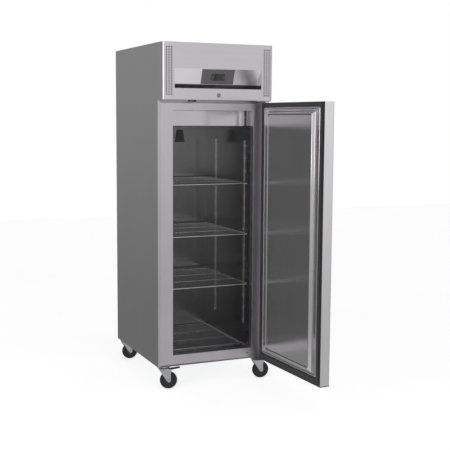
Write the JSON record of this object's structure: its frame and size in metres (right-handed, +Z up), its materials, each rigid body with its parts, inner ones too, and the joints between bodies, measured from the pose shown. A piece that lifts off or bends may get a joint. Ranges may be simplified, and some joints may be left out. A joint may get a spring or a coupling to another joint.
{
  "type": "reach in refrigerator",
  "caption": "Tall stainless reach-in kitchen refrigerator on castors, solid hinged door standing open, wire shelves inside and a condensing unit behind a vented top fascia.",
  "frame": {"origin": "centre of the cabinet's underside, where the castors' plates are bolted; the wheels reach 0.136 m below it", "axes": "+X to the right and +Y to the back as seen by a person facing the door, +Z up"},
  "size_m": [0.747, 1.5306, 2.021],
  "materials": {
    "brushed_stainless": "brushed stainless sheet",
    "polished_stainless": "bright polished stainless sheet",
    "galvanised_steel": "galvanised sheet",
    "zinc_plated_steel": "zinc plated",
    "chromed_wire": "chromed wire",
    "black_plastic": "satin moulded plastic",
    "grey_plastic": "satin moulded plastic",
    "display_black": "gloss plastic",
    "gasket_rubber": "soft extruded seal",
    "wheel_rubber": "hard moulded tread",
    "insulation_foam": "foamed in place, matte",
    "painted_black_steel": "satin paint",
    "coil_aluminium": "mill finish fins",
    "copper_pipe": "drawn pipe"
  },
  "bodies": {
    "cabinet": {"left_side_panel": "brushed_stainless", "right_side_panel": "brushed_stainless", "back_panel": "galvanised_steel", "base_pan": "galvanised_steel", "front_frame": "brushed_stainless", "inner_liner": "polished_stainless", "insulation_foam": "insulation_foam", "machine_deck": "galvanised_steel", "fascia_center_panel": "brushed_stainless", "fascia_grille_left": "brushed_stainless", "fascia_grille_right": "brushed_stainless", "control_bezel": "grey_plastic", "temperature_controller": "display_black", "door_switch_body": "black_plastic", "compressor": "painted_black_steel", "condenser_coil": "coil_aluminium", "condenser_fan_shroud": "painted_black_steel", "refrigerant_pipe": "copper_pipe", "electrical_box": "galvanised_steel", "power_inlet_gland": "black_plastic", "evaporator_coil": "coil_aluminium", "evaporator_fan_motor": "painted_black_steel", "evaporator_cover": "polished_stainless", "temperature_probe_guard": "grey_plastic", "rack_post_front_left": "polished_stainless", "rack_post_front_right": "polished_stainless", "rack_post_rear_left": "polished_stainless", "rack_post_rear_right": "polished_stainless", "top_hinge_bracket": "zinc_plated_steel", "bottom_hinge_bracket": "zinc_plated_steel", "castor_plate_front_left": "zinc_plated_steel", "castor_plate_front_right": "zinc_plated_steel", "castor_plate_rear_left": "zinc_plated_steel", "castor_plate_rear_right": "zinc_plated_steel"},
    "door": {"door_outer_shell": "brushed_stainless", "door_foam": "insulation_foam", "door_edge_frame": "black_plastic", "door_inner_liner": "polished_stainless", "door_gasket": "gasket_rubber"},
    "lock": {"lock_barrel": "zinc_plated_steel", "lock_cam": "zinc_plated_steel"},
    "door_switch_plunger": {"door_switch_plunger": "black_plastic"},
    "controller_set_key": {"controller_set_key": "grey_plastic"},
    "controller_up_key": {"controller_up_key": "grey_plastic"},
    "condenser_fan": {"condenser_fan_blade": "black_plastic"},
    "evaporator_fan": {"evaporator_fan_blade": "black_plastic"},
    "wire_shelf_1": {"wire_shelf_1": "chromed_wire"},
    "wire_shelf_2": {"wire_shelf_2": "chromed_wire"},
    "wire_shelf_3": {"wire_shelf_3": "chromed_wire"},
    "bottom_rack": {"bottom_rack": "chromed_wire"},
    "castor_fork_front_left": {"castor_fork_front_left": "zinc_plated_steel"},
    "castor_wheel_front_left": {"castor_wheel_front_left": "wheel_rubber"},
    "brake_pedal_front_left": {"brake_pedal_front_left": "black_plastic"},
    "castor_fork_front_right": {"castor_fork_front_right": "zinc_plated_steel"},
    "castor_wheel_front_right": {"castor_wheel_front_right": "wheel_rubber"},
    "brake_pedal_front_right": {"brake_pedal_front_right": "black_plastic"},
    "castor_fork_rear_left": {"castor_fork_rear_left": "zinc_plated_steel"},
    "castor_wheel_rear_left": {"castor_wheel_rear_left": "wheel_rubber"},
    "castor_fork_rear_right": {"castor_fork_rear_right": "zinc_plated_steel"},
    "castor_wheel_rear_right": {"castor_wheel_rear_right": "wheel_rubber"}
  },
  "joints": [
    {"name": "door_hinge", "type": "hinge", "parent": "cabinet", "child": "door", "pos_m": [0.3297, -0.45, 0.78], "axis": [0, 0, 1], "range_deg": [-92.9, 17.1]},
    {"name": "lock_turn", "type": "hinge", "parent": "cabinet", "child": "lock", "pos_m": [0, -0.476, 1.59], "axis": [0, 1, 0], "range_deg": [0, 90]},
    {"name": "door_switch_press", "type": "slide", "parent": "cabinet", "child": "door_switch_plunger", "axis": [0, 0, 1], "range_m": [0, 0.002], "stiffness_N_per_m": 250},
    {"name": "controller_set_press", "type": "slide", "parent": "cabinet", "child": "controller_set_key", "axis": [0, 0.9398, 0.3417], "range_m": [0, 0.0006], "stiffness_N_per_m": 800},
    {"name": "controller_up_press", "type": "slide", "parent": "cabinet", "child": "controller_up_key", "axis": [0, 0.9398, 0.3417], "range_m": [0, 0.0006], "stiffness_N_per_m": 800},
    {"name": "condenser_fan_spin", "type": "hinge", "parent": "cabinet", "child": "condenser_fan", "pos_m": [-0.095, -0.2535, 1.7011], "axis": [0, 1, 0], "continuous": true},
    {"name": "evaporator_fan_spin", "type": "hinge", "parent": "cabinet", "child": "evaporator_fan", "pos_m": [0, -0.215, 1.433], "axis": [0, 0, 1], "continuous": true},
    {"name": "wire_shelf_1_slide", "type": "slide", "parent": "cabinet", "child": "wire_shelf_1", "axis": [0, -1, 0], "range_m": [0, 0.22]},
    {"name": "wire_shelf_2_slide", "type": "slide", "parent": "cabinet", "child": "wire_shelf_2", "axis": [0, -1, 0], "range_m": [0, 0.22]},
    {"name": "wire_shelf_3_slide", "type": "slide", "parent": "cabinet", "child": "wire_shelf_3", "axis": [0, -1, 0], "range_m": [0, 0.22]},
    {"name": "bottom_rack_slide", "type": "slide", "parent": "cabinet", "child": "bottom_rack", "axis": [0, -1, 0], "range_m": [0, 0.09]},
    {"name": "castor_swivel_front_left", "type": "hinge", "parent": "cabinet", "child": "castor_fork_front_left", "pos_m": [-0.303, -0.371, -0.0085], "axis": [0, 0, 1], "continuous": true},
    {"name": "castor_roll_front_left", "type": "hinge", "parent": "castor_fork_front_left", "child": "castor_wheel_front_left", "pos_m": [-0.27366, -0.37724, -0.0845], "axis": [0.2079, 0.9781, 0], "continuous": true},
    {"name": "brake_press_front_left", "type": "hinge", "parent": "castor_fork_front_left", "child": "brake_pedal_front_left", "pos_m": [-0.26779, -0.37849, -0.0215], "axis": [0.2079, 0.9781, 0], "range_deg": [0, 18]},
    {"name": "castor_swivel_front_right", "type": "hinge", "parent": "cabinet", "child": "castor_fork_front_right", "pos_m": [0.303, -0.371, -0.0085], "axis": [0, 0, 1], "continuous": true},
    {"name": "castor_roll_front_right", "type": "hinge", "parent": "castor_fork_front_right", "child": "castor_wheel_front_right", "pos_m": [0.33284, -0.37414, -0.0845], "axis": [0.1045, 0.9945, 0], "continuous": true},
    {"name": "brake_press_front_right", "type": "hinge", "parent": "castor_fork_front_right", "child": "brake_pedal_front_right", "pos_m": [0.3388, -0.37476, -0.0215], "axis": [0.1045, 0.9945, 0], "range_deg": [0, 18]},
    {"name": "castor_swivel_rear_left", "type": "hinge", "parent": "cabinet", "child": "castor_fork_rear_left", "pos_m": [-0.303, 0.371, -0.0085], "axis": [0, 0, 1], "continuous": true},
    {"name": "castor_roll_rear_left", "type": "hinge", "parent": "castor_fork_rear_left", "child": "castor_wheel_rear_left", "pos_m": [-0.273, 0.371, -0.0845], "axis": [0, 1, 0], "continuous": true},
    {"name": "castor_swivel_rear_right", "type": "hinge", "parent": "cabinet", "child": "castor_fork_rear_right", "pos_m": [0.303, 0.371, -0.0085], "axis": [0, 0, 1], "continuous": true},
    {"name": "castor_roll_rear_right", "type": "hinge", "parent": "castor_fork_rear_right", "child": "castor_wheel_rear_right", "pos_m": [0.333, 0.371, -0.0845], "axis": [0, 1, 0], "continuous": true}
  ]
}
